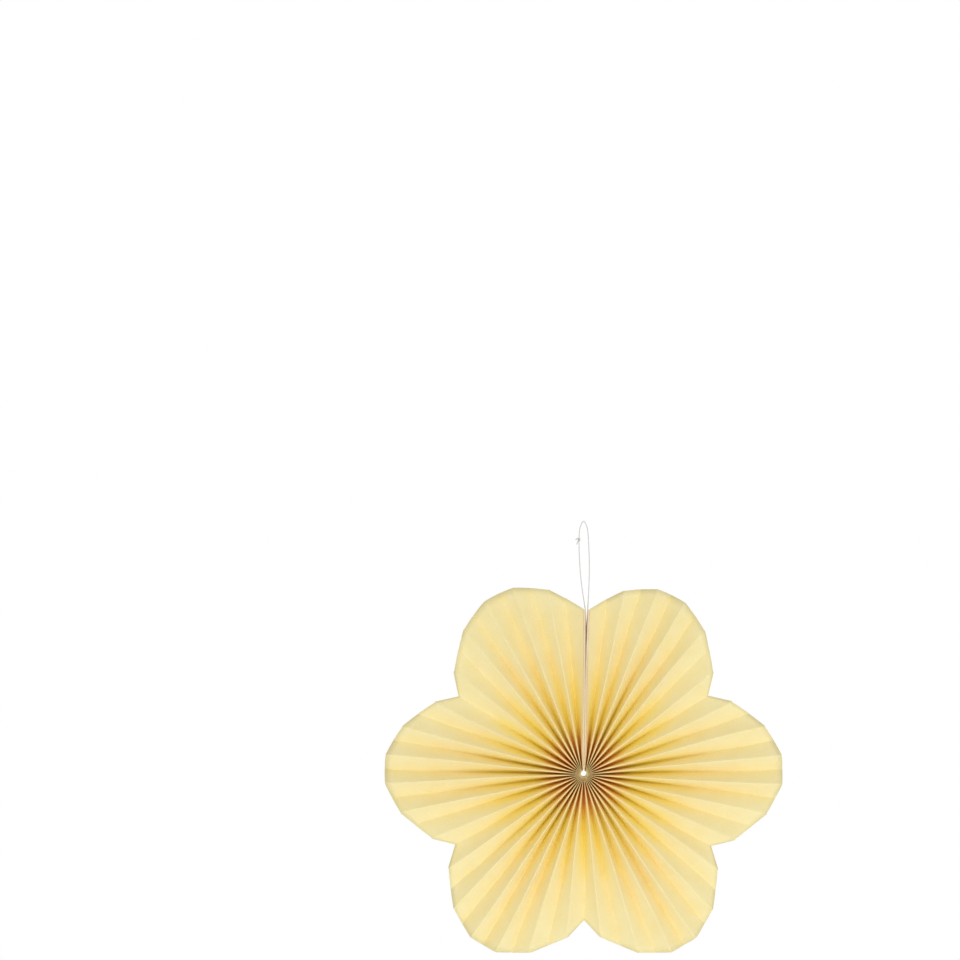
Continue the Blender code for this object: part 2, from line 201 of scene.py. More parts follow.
paperLook = {
    "petals": 6,
    "panelsPerPetal": 12,
    "pleatWidth": 0.015,
    "thickness": 0.00012,
    "ridge": 0.00015,  # width of a flattened crease at the eye
    "outerRidge": 0.00090,  # and where the pleats stand apart
    "backRidge": 0.00025,  # the same for the creases at the back
    "ridgeFrom": 0.006,  # from the eye, where a crease begins to spring rounder
    "ridgeTo": 0.026,  # and where it has its outer width
    "rimSwell": 0.0006,  # how far the cut edge stands out between two crests
    "swellPower": 10,  # how soon that ends inwards
    "seamRidge": 0.0003,  # the creases beside the seam turn round the card's edge
    "creaseReach": 0.00035,  # how far a crease's rounding reaches into its panels
    "creaseRise": 0.12,  # how far a crease stands proud of its corners, as a share of its width
    "eyeRadius": 0.0023,
    "notchRadius": 0.1185,
    "tipRadius": 0.1614,
    "petalRoundness": 0.8,
    "notchSpread": 0.2,  # how much wider the pleats stand at the notches
    "turnShares": (0.1583, 0.1711, 0.1672, 0.1700, 0.1684, 0.1650),  # of each petal, clockwise
    "holeRing": 0.0065,  # from the centre to the middle of each punched hole
    "holeRadius": 0.0014,
    "gathered": (0.0032, 0.0042, 0.0048),  # rows of points between the eye and the holes
    "overHoles": 0.0090,  # one row just over the holes
    "upperStart": 0.0105,  # from here to the rim
    "rows": 31,
    "rowGrading": 1.25,  # above 1 the rows lie closer together near the eye
    "bow": 0.00022,  # how far a panel curves out between its creases
    "bowFrom": 0.012,  # from the eye, where the bow begins
    "bowTo": 0.060,
    "bowSteps": (1.7, 2.1),  # rad from a panel to the next, so that no two bow alike
    "bowWaves": 60,  # rad for each metre up a panel
    "wander": 0.10,  # how far a crease strays, as a share of the room beside it
    "wanderMost": 0.0007,  # clockwise
    "wanderSteps": (2.399, 5.13),  # rad from a crease to the next, so that no two stray alike
    "calmFolds": 4,  # creases beside the seam that stray less
    "colour": "#FBEAB1",
    "mottleColour": "#F8E3A0",
    "fibreColour": "#FFF6D2",
    "fibreScale": 1.6,  # mm, drawn some five times as coarse as real fibres so that they show
    "mottleScale": 14.0,  # mm
    # Tones painted over the open paper, one over the other: bounced light, shade, pale creases. Each grows
    # between two distances from the eye, and between two depths below the crest of the pleat, in mm.
    "tones": (
        # Painted light in the pleats, where light bounces on and on
        {"colour": "#FCEA76", "far": (105.0, 20.0), "down": (0.0, 9.0), "strength": 1.0},
        # Painted shade and bounced light between the close pleats round the gathered centre: brown-gold
        {"colour": "#F29D08", "far": (40.0, 6.0), "down": (0.5, 6.0), "strength": 0.95},
        # The folding rubs the creases pale, and a painted highlight makes them paler, most where they lie
        # close
        # together
        {"colour": "#FFDE8E", "far": (110.0, 28.0), "down": (1.8, 0.1), "strength": 0.8},
    ),
}

seamLook = {
    "coreHalf": 0.0006,
    "eyeHalf": 0.0014,
    "closedGap": 0.0002,
    "midGap": 0.00091,  # the twine keeps the middle of the seam apart
    "spreadRadius": 0.0048,
    "openRadius": 0.076,
    "flare": 0.0019,
    "flarePower": 1.5,
    "mouth": 0.0022,  # the strands part at the top and spread the seam further
    "mouthPower": 4,
    "boardStart": 0.0032,
    "boardFull": 0.0185,
    "boardThickness": 0.0014,
    "boardCrushed": 0.0002,
    "boardInset": 0.0002,
    "boardTopInset": 0.0006,
    "boardStartGap": 0.0004,
    "glueLine": 0.00013,
}

panelCount = paperLook["petals"] * paperLook["panelsPerPetal"]
halfDepth = paperLook["pleatWidth"] / 2
allFolds = np.arange(panelCount + 1)


def petalRadius(fold):
    # Half a sine wave over each petal, raised to a power that rounds its tip
    notch, tip = paperLook["notchRadius"], paperLook["tipRadius"]
    wave = np.abs(np.sin(np.pi * fold / paperLook["panelsPerPetal"]))
    return notch + (tip - notch) * wave ** paperLook["petalRoundness"]


def seamGap(radius, forward):
    # Clear width of the seam at its front (forward 1), middle (0) or back edge (-1). Front and middle open
    # by powers of the height, and the back lies as far from the middle as the front, less near the eye.
    look = seamLook
    opened = rise(radius, look["openRadius"], petalRadius(1))
    apart = rise(radius, look["boardStart"], look["spreadRadius"])
    middle = look["closedGap"] + (look["midGap"] - look["closedGap"]) * apart
    middle = middle + look["mouth"] * opened ** look["mouthPower"]
    front = look["closedGap"] + look["flare"] * opened ** look["flarePower"]
    forward = np.where(forward < 0, forward * rise(radius, look["boardStart"], look["boardFull"]), forward)
    return middle + (front - middle) * forward


def boardThickness(radius):
    # The card is crushed at its start by the gathered pleats and evenly thickens to its full measure
    look = seamLook
    crushed = look["boardCrushed"]
    return crushed + (look["boardThickness"] - crushed) * rise(radius, look["boardStart"], look["boardFull"])


def seamHalfWidth(radius, forward):
    # Half the seam's width to the middle of the paper glued on a board
    boarded = np.maximum(radius, seamLook["boardStart"])
    full = seamGap(boarded, forward) / 2 + boardThickness(boarded)
    full = full + seamLook["glueLine"] + paperLook["thickness"] / 2
    share = rise(radius, paperLook["eyeRadius"], seamLook["boardStart"])
    return seamLook["coreHalf"] + (full - seamLook["coreHalf"]) * share


def rimAngles():
    # Clockwise direction of each fold's outer end: the petals' shares of the turn, wider at the notches
    per = paperLook["panelsPerPetal"]
    petal = np.minimum(allFolds // per, paperLook["petals"] - 1)

    def spread(place):
        # A fold's place across its petal, from 0 to 1, moved along by a sine wave
        return place + paperLook["notchSpread"] * np.sin(2 * np.pi * place) / (2 * np.pi)

    place, first = spread(allFolds / per - petal), spread(1 / per)
    place = np.where(petal == 0, (place - first) / (1 - first), place)
    place = np.where(petal == paperLook["petals"] - 1, place / (1 - first), place)
    shares = np.array(paperLook["turnShares"])
    before = np.concatenate([[0.0], np.cumsum(shares)])[petal]
    return 2 * np.pi * (before + shares[petal] * place) / shares.sum()


besideSeam = (allFolds == 1) | (allFolds == panelCount - 1)
seamSide = np.where(allFolds < panelCount / 2, 1.0, -1.0)


def rimPoints():
    # Outer end of each fold in plan. The cut edge runs straight from one front fold to the next.
    angle, radius = rimAngles(), petalRadius(allFolds)
    made = np.stack([np.sin(angle), np.cos(angle)], -1) * radius[:, None]
    seam = np.stack([seamSide * seamHalfWidth(radius, 1.0), radius], -1)
    made[besideSeam] = seam[besideSeam]
    inner = (allFolds % 2 == 0) & (allFolds % paperLook["panelsPerPetal"] != 0)
    made[inner] = (made[allFolds[inner] - 1] + made[allFolds[inner] + 1]) / 2
    return made


rimPlan = rimPoints()
onCurve = besideSeam | (allFolds % paperLook["panelsPerPetal"] == 0)
edgeRadii = np.where(onCurve, petalRadius(allFolds), np.hypot(*rimPlan.T))
eyeHalfAngle = math.asin(seamLook["eyeHalf"] / paperLook["eyeRadius"])
eyeAngles = eyeHalfAngle + (2 * np.pi - 2 * eyeHalfAngle) * (allFolds - 2) / (panelCount - 4)
eyePlan = np.stack([np.sin(eyeAngles), np.cos(eyeAngles)], -1) * paperLook["eyeRadius"]


def foldRadius(fold, reach):
    # Radius on a fold for a height on the longest one: the same below the seam's opening, in scale above
    low = seamLook["openRadius"]
    share = (reach - low) / (paperLook["tipRadius"] - low)
    return np.where(reach < low, reach, low + (edgeRadii[fold] - low) * share)


def foldPlan(fold, radius):
    # A crease in plan: straight from the eye to the rim, apart from a slight stray made of two sine waves
    look = paperLook
    share = (radius - look["eyeRadius"]) / (edgeRadii[fold] - look["eyeRadius"])
    plan = eyePlan[fold] + (rimPlan[fold] - eyePlan[fold]) * share[..., None]
    far = np.hypot(plan[..., 0], plan[..., 1])
    outward = plan / np.maximum(far, 1e-9)[..., None]
    room = 2 * np.pi * far / panelCount
    firstStep, secondStep = look["wanderSteps"]
    stray = np.sin(fold * firstStep + 0.7) * np.sin(np.pi * share)
    stray += 0.6 * np.sin(fold * secondStep) * np.sin(2 * np.pi * share)
    stray *= room * look["wander"]
    fromSeam = np.clip((fold - 1) / look["calmFolds"], 0, 1)
    stray *= fromSeam * np.clip((panelCount - 1 - fold) / look["calmFolds"], 0, 1)
    aside = np.stack([outward[..., 1], -outward[..., 0]], -1)
    plan = plan + aside * np.minimum(stray, look["wanderMost"])[..., None]
    seam = np.stack([seamSide[fold] * seamHalfWidth(radius, 1.0), radius], -1)
    return np.where(besideSeam[fold][..., None], seam, plan)


def foldDepth(fold, radius):
    # Half the depth that leaves each panel its width when its folds stand this far apart: by Pythagoras
    before, after = foldPlan(fold - 1, radius), foldPlan(np.minimum(fold + 1, panelCount), radius)
    spread = np.hypot(*np.moveaxis(after - before, -1, 0)) / 2
    deep = np.sqrt(np.maximum(paperLook["pleatWidth"] ** 2 - spread ** 2, 0.0)) / 2
    return np.where(besideSeam[fold], halfDepth, deep)


def ridgeWidth(fold, radius):
    # A crease is pressed sharp at the gathered eye and springs rounder outwards, most on the front
    look = paperLook
    growth = smoothStep(radius, look["ridgeFrom"], look["ridgeTo"])
    outer = np.where(fold % 2 == 1, look["outerRidge"], look["backRidge"])
    return look["ridge"] + (outer - look["ridge"]) * growth


def creaseCorner(fold, radius, side):
    # A point beside a crease: side is -1 on the panel before it, +1 on the panel after it
    plan = foldPlan(fold, radius)
    along = unit(np.stack([plan[..., 1], -plan[..., 0]], -1))
    offset = along * (side * ridgeWidth(fold, radius) / 2)[..., None]
    wide = np.where(fold == 1, (side + 1) / 2, (side - 1) / 2) * paperLook["seamRidge"]
    seamOffset = np.stack([wide, np.zeros_like(wide)], -1)
    plan = plan + np.where(besideSeam[fold][..., None], seamOffset, offset)
    front = np.where(fold % 2 == 1, -1.0, 1.0)
    return np.stack([plan[..., 0], front * foldDepth(fold, radius), plan[..., 1]], -1)


def paperPoint(panel, share, reach):
    # A panel runs straight between its two creases, with a slight bow, and each crease is rounded
    look = paperLook
    ones = np.ones(panel.shape)
    start = creaseCorner(panel, foldRadius(panel, reach), ones)
    end = creaseCorner(panel + 1, foldRadius(panel + 1, reach), -ones)
    point = start + (end - start) * share[..., None]
    upward = np.stack([point[..., 0], np.zeros_like(share), point[..., 2]], -1)
    normal = unit(np.cross(end - start, upward))
    # The cut is a curve, so the rim swells a little from crest to crest, but not beside a notch: by a
    # parabola across the two panels, and by a power of the height
    inPair = np.where(panel % 2 == 1, share, share + 1) / 2
    swell = 4 * inPair * (1 - inPair) * (reach / look["tipRadius"]) ** look["swellPower"]
    swell = np.where((panel + 1) % look["panelsPerPetal"] < 2, 0.0, swell)
    point = point + unit(upward) * (look["rimSwell"] * swell)[..., None]
    # The bow is a parabola too. Sine waves make it differ from panel to panel, and up each of them.
    inPanel = np.clip(share, 0.0, 1.0)
    firstStep, secondStep = look["bowSteps"]
    bow = look["bow"] * 4 * inPanel * (1 - inPanel) * (0.5 + 0.8 * np.sin(panel * firstStep + 0.4))
    growing = smoothStep(reach, look["bowFrom"], look["bowTo"])
    bow *= growing * (0.8 + 0.5 * np.sin(reach * look["bowWaves"] + panel * secondStep))
    point = point + normal * bow[..., None]
    # The end panels lie along the boards
    last = panel == panelCount - 1
    ends = (panel == 0) | last
    forward = np.where(last, 1 - 2 * share, 2 * share - 1)
    height = foldRadius(panel, reach) + (foldRadius(panel + 1, reach) - foldRadius(panel, reach)) * share
    x = np.where(last, -1.0, 1.0) * seamHalfWidth(height, forward)
    flat = np.stack([x, -forward * halfDepth, height], -1)
    return np.where(ends[..., None], flat, point)


def paperGrid():
    # Panel, share and height for every point of the sheet, with a 12 sided hole in each panel. Columns
    # stand at the creases, where their rounding ends, in the open panel and over the hole.
    look = paperLook
    crease, hole = look["creaseReach"] / look["pleatWidth"], look["holeRadius"] / look["pleatWidth"]
    corners = np.array([-1, -1 / 3, 1 / 3, 1])
    shares = np.concatenate([[0, crease, 0.15, 0.3], 0.5 + hole * corners, [0.7, 0.85, 1 - crease, 1]])
    overHole = look["holeRing"] + look["holeRadius"] * corners
    spread = np.linspace(0.0, 1.0, look["rows"]) ** look["rowGrading"]
    upper = look["upperStart"] + (look["tipRadius"] - look["upperStart"]) * spread
    reach = np.concatenate([[look["eyeRadius"]], look["gathered"], overHole, [look["overHoles"]], upper])
    panel = np.repeat(np.arange(panelCount), len(shares))
    share = np.tile(shares, panelCount)
    return panel, share, reach, shares


def makePaper():
    # The whole sheet: a grid of points over its panels, with rounded creases, punched holes and two walls
    look = paperLook
    panel, share, reach, shares = paperGrid()
    rows, columns = len(reach), len(panel)
    panels = np.broadcast_to(panel, (rows, columns))
    place = np.broadcast_to(share, (rows, columns))
    heights = np.broadcast_to(reach[:, None], (rows, columns))
    # Points round each hole move out onto its circle
    acrossHole, upHole = (place - 0.5) * look["pleatWidth"], heights - look["holeRing"]
    onHole = np.abs(np.maximum(np.abs(acrossHole), np.abs(upHole)) - look["holeRadius"]) < 1e-6
    pull = np.where(onHole, look["holeRadius"] / np.maximum(np.hypot(acrossHole, upHole), 1e-9), 1.0)
    place, heights = 0.5 + acrossHole * pull / look["pleatWidth"], look["holeRing"] + upHole * pull
    grid = toWorld(paperPoint(panels, place, heights))
    # Each crease has a middle column, a little proud of its two corners
    ends = np.arange(len(shares) - 1, columns - 1, len(shares))
    middle = (grid[:, ends] + grid[:, ends + 1]) / 2
    proud = ridgeWidth(panel[ends] + 1, reach[:, None]) * look["creaseRise"]
    middle[..., 1] += np.where(panel[ends] % 2 == 0, -1.0, 1.0) * proud
    grid = np.insert(grid, ends + 1, middle, axis=1)
    creaseU = np.broadcast_to(panel[ends] + 1.0, (rows, len(ends)))
    flatU = np.insert(panels + place, ends + 1, creaseU, axis=1).ravel() * look["pleatWidth"]
    flatV = np.insert(heights, ends + 1, reach[:, None], axis=1).ravel()
    # The faces whose middles lie well inside a hole are left out, and then the points that nothing uses
    wellInside = look["holeRadius"] * 0.93
    faces = gridFaces(rows, grid.shape[1])
    inPanel = (flatU[faces].mean(1) / look["pleatWidth"] % 1 - 0.5) * look["pleatWidth"]
    faces = faces[np.hypot(inPanel, flatV[faces].mean(1) - look["holeRing"]) > wellInside]
    used, faces = np.unique(faces, return_inverse=True)
    faces = faces.reshape(-1, 4)
    u, v = flatU[used], flatV[used]
    # How far a point lies from the next crease at the back, and from the one in front, in mm
    fromBack = np.abs((u / look["pleatWidth"] + 1) % 2 - 1) * look["pleatWidth"] * 1000
    fromFront = look["pleatWidth"] * 1000 - fromBack
    values = {"fromEye": (v - look["eyeRadius"]) * 1000}
    points = grid.reshape(-1, 3)[used]
    piece = addMesh("pleatedPaper", points, faces, paperFinish(), values, np.stack([u, v], -1))
    wall = piece.modifiers.new("paperWall", "SOLIDIFY")
    wall.thickness = look["thickness"]
    wall.offset = 0.0
    wall.use_even_offset = True
    applyModifiers(piece)
    # The cut edges are flat, so that the paper isn't shaded darker beside them
    onWall = np.arange(len(piece.data.polygons)) < 2 * len(faces)
    piece.data.polygons.foreach_set("use_smooth", onWall)
    # Each wall has its own crests, and its depth in the pleat is counted from them in mm. The first half
    # of the points is one wall and the second half the other.
    y = meshPoints(piece)[:, 1].reshape(2, -1)
    firstInFront = (y[0] - y[1])[fromFront < 1e-6].mean() < 0
    depths = [fromFront, fromBack] if firstInFront else [fromBack, fromFront]
    addValues(piece.data, {"pleatDepth": np.concatenate(depths)})
    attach(piece, "root")
    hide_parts("pleated_paper")
    print("paper:", len(piece.data.polygons), "faces")


def paperFinish():
    # Uncoated coloured paper: matte, with short fibres, cloudy mottling and creases that are rubbed pale and
    # # carry a painted highlight. Round the gathered centre, painted shade and bounced light make the paper
    # # between the pleats deep gold, and the painted highlight makes the crests stand out pale.
    look = paperLook
    settings = {"Roughness": 0.72, "Specular IOR Level": 0.28, "Sheen Weight": 0.04}
    # Thin paper lets some light through, which leaves it yellower
    settings |= {"Subsurface Weight": 0.16, "Subsurface Radius": (1.0, 0.7, 0.2), "Subsurface Scale": 0.001}
    made, tree, shader = newMaterial("uncoatedColouredPaper", settings)
    place = addNode(tree, "ShaderNodeTexCoord")
    fromEye = addNode(tree, "ShaderNodeAttribute", {"attribute_name": "fromEye"})
    pleatDepth = addNode(tree, "ShaderNodeAttribute", {"attribute_name": "pleatDepth"})

    # Open paper, mottled by the felt side of the paper machine
    mottle = addNode(
        tree, "ShaderNodeTexNoise", {"Scale": 1000 / look["mottleScale"], "Detail": 3.0},
        {"Vector": place.outputs["Object"]},
    )
    mottled = addNode(
        tree, "ShaderNodeMapRange", {"From Min": 0.35, "From Max": 0.65, "To Max": 0.5},
        {"Value": mottle.outputs[0]},
    )
    coat = addNode(
        tree, "ShaderNodeMix",
        {"data_type": "RGBA", 6: linearColour(look["colour"]), 7: linearColour(look["mottleColour"])},
        {0: mottled.outputs[0]},
    )
    # Short fibres lie all over it
    fibre = addNode(
        tree, "ShaderNodeTexNoise", {"Scale": 1000 / look["fibreScale"], "Detail": 4.0, "Roughness": 0.7},
        {"Vector": place.outputs["Object"]},
    )
    fibrous = addNode(
        tree, "ShaderNodeMapRange", {"From Min": 0.45, "From Max": 0.75, "To Max": 0.35},
        {"Value": fibre.outputs[0]},
    )
    coat = addNode(
        tree, "ShaderNodeMix", {"data_type": "RGBA", 7: linearColour(look["fibreColour"])},
        {0: fibrous.outputs[0], 6: coat.outputs[2]},
    )
    # Each painted tone's share is the product of how near the eye and how deep in the pleat a point lies
    for tone in look["tones"]:
        near = addNode(
            tree, "ShaderNodeMapRange",
            {**level, "From Min": tone["far"][0], "From Max": tone["far"][1], "To Max": tone["strength"]},
            {"Value": fromEye.outputs["Fac"]},
        )
        deep = addNode(
            tree, "ShaderNodeMapRange", {**level, "From Min": tone["down"][0], "From Max": tone["down"][1]},
            {"Value": pleatDepth.outputs["Fac"]},
        )
        amount = addNode(
            tree, "ShaderNodeMath", {"operation": "MULTIPLY"}, {0: near.outputs[0], 1: deep.outputs[0]},
        )
        coat = addNode(
            tree, "ShaderNodeMix", {"data_type": "RGBA", 7: linearColour(tone["colour"])},
            {0: amount.outputs[0], 6: coat.outputs[2]},
        )
    bump = addNode(
        tree, "ShaderNodeBump", {"Strength": 0.12, "Distance": 0.0001}, {"Height": fibre.outputs[0]},
    )
    tree.links.new(coat.outputs[2], shader.inputs["Base Color"])
    tree.links.new(bump.outputs[0], shader.inputs["Normal"])
    return made


# Card strips

cardLook = {
    "cornerRadius": 0.00018,
    "cornerShare": 0.6,  # how far a corner lies back, as a share of that radius
    "squareness": 1.45,  # a circle drawn this much too large and cut off at the sides
    "stations": 90,  # rings of points up a strip
    "sidePoints": 9,  # a quarter of each ring
    "colour": "#F6DDB4",
    "plyColour": "#E6C79A",
    "flakeColour": "#FBEBCF",
    "plyThickness": 0.35,  # mm, the sheets that the card is laminated from
    "flakeSize": 1.1,  # mm
    "pulpSize": 0.7,  # mm
}


def boardDepth():
    # Half of a card strip's width, from its front edge to its back edge
    return halfDepth - seamLook["boardInset"]


def boardPoints():
    # A rounded rectangle carried up the seam. Its inner face follows the seam and its top the petal's edge.
    look = cardLook
    # The profile goes forward from -1 to 1, and through the card from 0 at the seam to 1 at the paper
    turn = np.linspace(0, 2 * np.pi, 4 * look["sidePoints"], endpoint=False)
    forward = np.clip(np.cos(turn) * look["squareness"], -1, 1)[None, :]
    through = (np.clip(np.sin(turn) * look["squareness"], -1, 1)[None, :] + 1) / 2
    frontTop, backTop = petalRadius(1) - seamLook["boardTopInset"], petalRadius(0) - seamLook["boardTopInset"]
    low = seamLook["boardStart"] + seamLook["boardStartGap"]
    top = (frontTop + backTop) / 2 + (frontTop - backTop) / 2 * forward
    height = low + (top - low) * np.linspace(0, 1, look["stations"])[:, None]
    across = seamGap(height, forward) / 2 + boardThickness(height) * through
    # A cut edge is a little rounded, so its corners lie back by the corner radius
    nearEdge = (1 - np.abs(forward)) * boardDepth()
    nearFace = np.minimum(through, 1 - through) * boardThickness(height)
    back = np.maximum(0.0, look["cornerRadius"] - nearEdge) * rise(nearFace, look["cornerRadius"], 0.0)
    back = back * look["cornerShare"]
    depth = -forward * (boardDepth() - back)
    return np.stack([across, np.broadcast_to(depth, height.shape), height], -1)


def punchHole(piece):
    # The twine's hole: a ring with the radius of the gathered holes cuts it, and is then thrown away
    rounds, sides = 48, 16
    around = np.linspace(0, 2 * np.pi, rounds, endpoint=False)[:, None]
    across = np.linspace(0, 2 * np.pi, sides, endpoint=False)[None, :]
    reach = paperLook["holeRing"] + paperLook["holeRadius"] * np.cos(across)
    depth = np.broadcast_to(paperLook["holeRadius"] * np.sin(across), (rounds, sides))
    points = np.stack([reach * np.sin(around), depth, reach * np.cos(around)], -1)
    faces = gridFaces(rounds, sides, closed=True, ringed=True)
    cutter = addMesh("holeCutter", toWorld(points).reshape(-1, 3), faces, piece.data.materials[0])
    closeShell(cutter.data)
    cut = piece.modifiers.new("twineHole", "BOOLEAN")
    cut.operation, cut.solver, cut.object = "DIFFERENCE", "EXACT", cutter
    applyModifiers(piece)
    bpy.data.objects.remove(cutter, do_unlink=True)


def makeBoard(name, side, node, finish):
    # One card strip: side is 1 on the right of the seam and -1 on its left
    points = boardPoints() * [side, 1.0, 1.0]
    faces = cappedFaces(*points.shape[:2])
    piece = addMesh(name, toWorld(points).reshape(-1, 3), faces, finish, smooth=False)
    closeShell(piece.data)
    punchHole(piece)
    # How far each point lies through the card, in mm, for the plies on its cut edges
    x, y, z = toFlower(meshPoints(piece)).T
    through = np.abs(x) - seamGap(z, np.clip(-y / boardDepth(), -1, 1)) / 2
    addValues(piece.data, {"through": through * 1000})
    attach(piece, "root")
    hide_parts(node)
    print("card:", name, len(piece.data.polygons), "faces")


def cardFinish():
    # Pale millboard cut with a guillotine: matte, with flakes of pulp and laminated plies on its edge
    look = cardLook
    made, tree, shader = newMaterial("rawMillboard", {"Roughness": 0.9, "Specular IOR Level": 0.2})
    place = addNode(tree, "ShaderNodeTexCoord")
    # The plies follow the distance through the card: a sine wave with one ply for each turn
    through = addNode(tree, "ShaderNodeAttribute", {"attribute_name": "through"})
    ply = addNode(
        tree, "ShaderNodeMath", {"operation": "MULTIPLY", 1: 2 * math.pi / look["plyThickness"]},
        {0: through.outputs["Fac"]},
    )
    wave = addNode(tree, "ShaderNodeMath", {"operation": "SINE"}, {0: ply.outputs[0]})
    layers = addNode(
        tree, "ShaderNodeMapRange", {"From Min": -1.0, "To Max": 0.45}, {"Value": wave.outputs[0]},
    )
    base = addNode(
        tree, "ShaderNodeMix",
        {"data_type": "RGBA", 6: linearColour(look["colour"]), 7: linearColour(look["plyColour"])},
        {0: layers.outputs[0]},
    )
    flake = addNode(
        tree, "ShaderNodeTexNoise", {"Scale": 1000 / look["flakeSize"], "Detail": 4.0},
        {"Vector": place.outputs["Object"]},
    )
    flakes = addNode(
        tree, "ShaderNodeMapRange", {"From Min": 0.5, "From Max": 0.7, "To Max": 0.6},
        {"Value": flake.outputs[0]},
    )
    flecked = addNode(
        tree, "ShaderNodeMix", {"data_type": "RGBA", 7: linearColour(look["flakeColour"])},
        {0: flakes.outputs[0], 6: base.outputs[2]},
    )
    streak = addNode(
        tree, "ShaderNodeMapping", {"Scale": (1.0, 1.0, 0.12)}, {"Vector": place.outputs["Object"]},
    )
    pulp = addNode(
        tree, "ShaderNodeTexNoise", {"Scale": 1000 / look["pulpSize"], "Detail": 3.0},
        {"Vector": streak.outputs[0]},
    )
    bump = addNode(
        tree, "ShaderNodeBump", {"Strength": 0.35, "Distance": 0.0001}, {"Height": pulp.outputs[0]},
    )
    tree.links.new(flecked.outputs[2], shader.inputs["Base Color"])
    tree.links.new(bump.outputs[0], shader.inputs["Normal"])
    return made


# Tape

tapeLook = {
    "colour": "#DCD3B4",
    "cloudColour": "#EFE9D2",
    "cloudSize": 1.7,  # mm
}


def dressTape():
    # Double-sided tape: a tissue carrier in clear glue, so slightly glossy with a faint fibre cloud
    look = tapeLook
    made, tree, shader = newMaterial("tissueTape", {"Roughness": 0.38, "Specular IOR Level": 0.45})
    place = addNode(tree, "ShaderNodeTexCoord")
    cloud = addNode(
        tree, "ShaderNodeTexNoise", {"Scale": 1000 / look["cloudSize"], "Detail": 4.0},
        {"Vector": place.outputs["Object"]},
    )
    clouded = addNode(
        tree, "ShaderNodeMapRange", {"From Min": 0.4, "From Max": 0.7}, {"Value": cloud.outputs[0]},
    )
    base = addNode(
        tree, "ShaderNodeMix",
        {"data_type": "RGBA", 6: linearColour(look["colour"]), 7: linearColour(look["cloudColour"])},
        {0: clouded.outputs[0]},
    )
    bump = addNode(
        tree, "ShaderNodeBump", {"Strength": 0.2, "Distance": 0.00005}, {"Height": cloud.outputs[0]},
    )
    tree.links.new(base.outputs[2], shader.inputs["Base Color"])
    tree.links.new(bump.outputs[0], shader.inputs["Normal"])
    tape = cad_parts["seam_tape"]
    tape.data.materials.clear()
    tape.data.materials.append(made)
    print("tape dressed")


# Twine

twineLook = {
    "diameter": 0.00075,
    "ringRadius": 0.0065,  # of its way round the centre, through the punched holes
    "strandOffset": 0.00055,  # how far each strand lies from the middle of the card's width
    "bendRadius": 0.0016,  # of the turn from the holes into the seam
    "endGap": 0.0003,
    "exitRise": 0.002,  # the free loop starts this far above the notch
    "ringSteps": 96,
    "bendSteps": 16,
    "strandSteps": 60,
    "loopSteps": 24,  # between two points of the free loop's route
    "step": 0.00013,  # length of one ring of faces
    "around": 12,
    "plies": 3,
    "plyDepth": 0.16,  # how deep the groove between plies is, as a share of the radius
    "plyRoundness": 0.7,
    "pitch": 0.0026,  # length in which the plies turn once
    "uneven": ((0.05, 900.0, 0.0), (0.03, 2310.0, 1.0)),  # waves: share of the radius, rad a metre, start
    "colour": "#D9D2CB",
    # painted shade in the grooves between the plies
    "grooveShadeColour": "#A79C92",
    "fluffColour": "#EFEAE4",
    "fibreSize": 0.2,  # mm
    "glueColour": "#F0DFC0",  # the card's glue on the strands between the boards
    "glueFrom": -0.100,  # height at which it begins
    "glueTo": -0.120,
}

# The free loop above the notch: across, depth, height from the hook
loopRoute = np.array([
    (0.0035, -0.00055, -0.0674), (0.0042, -0.00055, -0.0540), (0.0046, -0.00055, -0.0400),
    (0.0045, -0.00050, -0.0290), (0.0041, -0.00035, -0.0180), (0.0036, -0.00020, -0.0100),
    (0.0026, -0.00010, -0.0040), (0.0000, 0.00000, 0.000375), (-0.0026, 0.00010, -0.0040),
    (-0.0035, 0.00020, -0.0100), (-0.0037, 0.00035, -0.0184), (-0.0033, 0.00050, -0.0300),
    (-0.00226, 0.00055, -0.0451), (-0.0006, 0.00055, -0.0580), (0.0013, 0.00055, -0.0705),
])

knotLook = {
    "height": -0.0145,
    "wraps": 3.0,
    "wrapSteps": 150,
    "pitch": 0.00078,  # length of strand that one wrap covers
    "coilRadius": 1.03,  # and the wound end's own radius, as shares of the twine's diameter
    "endRadius": 0.47,
    "tail": 0.0034,
    "tailSteps": 24,
    "upperLean": (0.5, -0.55),  # how a tail leans aside and along the strand, as shares of its length
    "lowerLean": (0.35, -0.75),
    "lowerShare": 0.8,  # the lower tail's length, as a share of the upper one's
}


def curveThrough(points, first, last, steps):
    # A smooth curve through points: each gap is a cubic that leaves along the line between its neighbours
    line = np.concatenate([[first], points, [last]])[:, None, :]
    a, b, c, d = line[:-3], line[1:-2], line[2:-1], line[3:]
    t = (np.arange(steps) / steps)[None, :, None]
    made = b + ((c - a) * t + (2 * a - 5 * b + 4 * c - d) * t ** 2 + (3 * b - a - 3 * c + d) * t ** 3) / 2
    return made.reshape(-1, 3)


def lengthsAlong(path):
    # The distance along a path to each of its points
    return np.concatenate([[0.0], np.cumsum(np.linalg.norm(np.diff(path, axis=0), axis=1))])


def evenly(points, step):
    # The same line with points a step apart
    far = lengthsAlong(points)
    want = np.linspace(0, far[-1], int(round(far[-1] / step)) + 1)
    return np.stack([np.interp(want, far, points[:, k]) for k in range(3)], -1)


